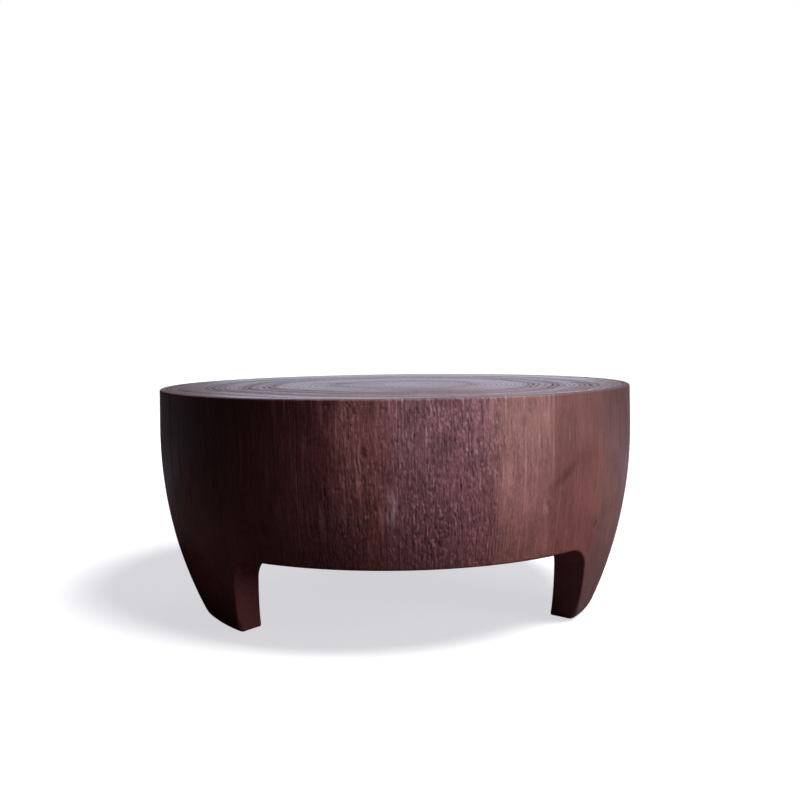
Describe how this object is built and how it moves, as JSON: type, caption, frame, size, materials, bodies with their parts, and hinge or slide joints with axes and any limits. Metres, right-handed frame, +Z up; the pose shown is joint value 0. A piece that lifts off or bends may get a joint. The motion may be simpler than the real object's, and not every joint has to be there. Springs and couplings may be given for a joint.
{
  "type": "drum table",
  "caption": "Low round drum-shaped table in dark brushed hardwood, belly curving in to broad feet sawn out of the wall, with growth rings across its top.",
  "frame": {"origin": "centre of the footprint on the floor, under the middle of the round top", "axes": "+Z up through the top; the opening between two feet faces -Y, so one foot stands at +Y and the other two at the front left and front right"},
  "size_m": [0.8, 0.8, 0.362],
  "materials": {
    "drum_wood": "dark brown stain over wire-brushed grain, low satin",
    "slab_wood": "greyed brown stain over brushed growth rings, satin",
    "tongue_wood": "bare split hardwood, glued or driven in",
    "inner_wood": "planed hardwood under a thin coat of stain",
    "pad_felt": "dense brown felt"
  },
  "bodies": {
    "root": {"stave_01": "drum_wood", "stave_02": "drum_wood", "stave_03": "drum_wood", "stave_04": "drum_wood", "stave_05": "drum_wood", "stave_06": "drum_wood", "stave_07": "drum_wood", "stave_08": "drum_wood", "stave_09": "drum_wood", "stave_10": "drum_wood", "stave_11": "drum_wood", "stave_12": "drum_wood", "stave_13": "drum_wood", "stave_14": "drum_wood", "stave_15": "drum_wood", "stave_16": "drum_wood", "stave_17": "drum_wood", "stave_18": "drum_wood", "top_slab": "slab_wood", "seam_tongue_01": "tongue_wood", "seam_tongue_02": "tongue_wood", "seam_tongue_03": "tongue_wood", "seam_tongue_04": "tongue_wood", "seam_tongue_05": "tongue_wood", "seam_tongue_06": "tongue_wood", "seam_tongue_07": "tongue_wood", "seam_tongue_08": "tongue_wood", "seam_tongue_09": "tongue_wood", "seam_tongue_10": "tongue_wood", "seam_tongue_11": "tongue_wood", "seam_tongue_12": "tongue_wood", "seam_tongue_13": "tongue_wood", "seam_tongue_14": "tongue_wood", "seam_tongue_15": "tongue_wood", "seam_tongue_16": "tongue_wood", "seam_tongue_17": "tongue_wood", "seam_tongue_18": "tongue_wood", "top_button_1": "inner_wood", "top_button_2": "inner_wood", "top_button_3": "inner_wood", "top_button_4": "inner_wood", "top_button_5": "inner_wood", "top_button_6": "inner_wood", "top_batten_front": "inner_wood", "top_batten_rear": "inner_wood", "button_pegs": "tongue_wood", "foot_pad_1": "pad_felt", "foot_pad_2": "pad_felt", "foot_pad_3": "pad_felt"}
  },
  "joints": []
}
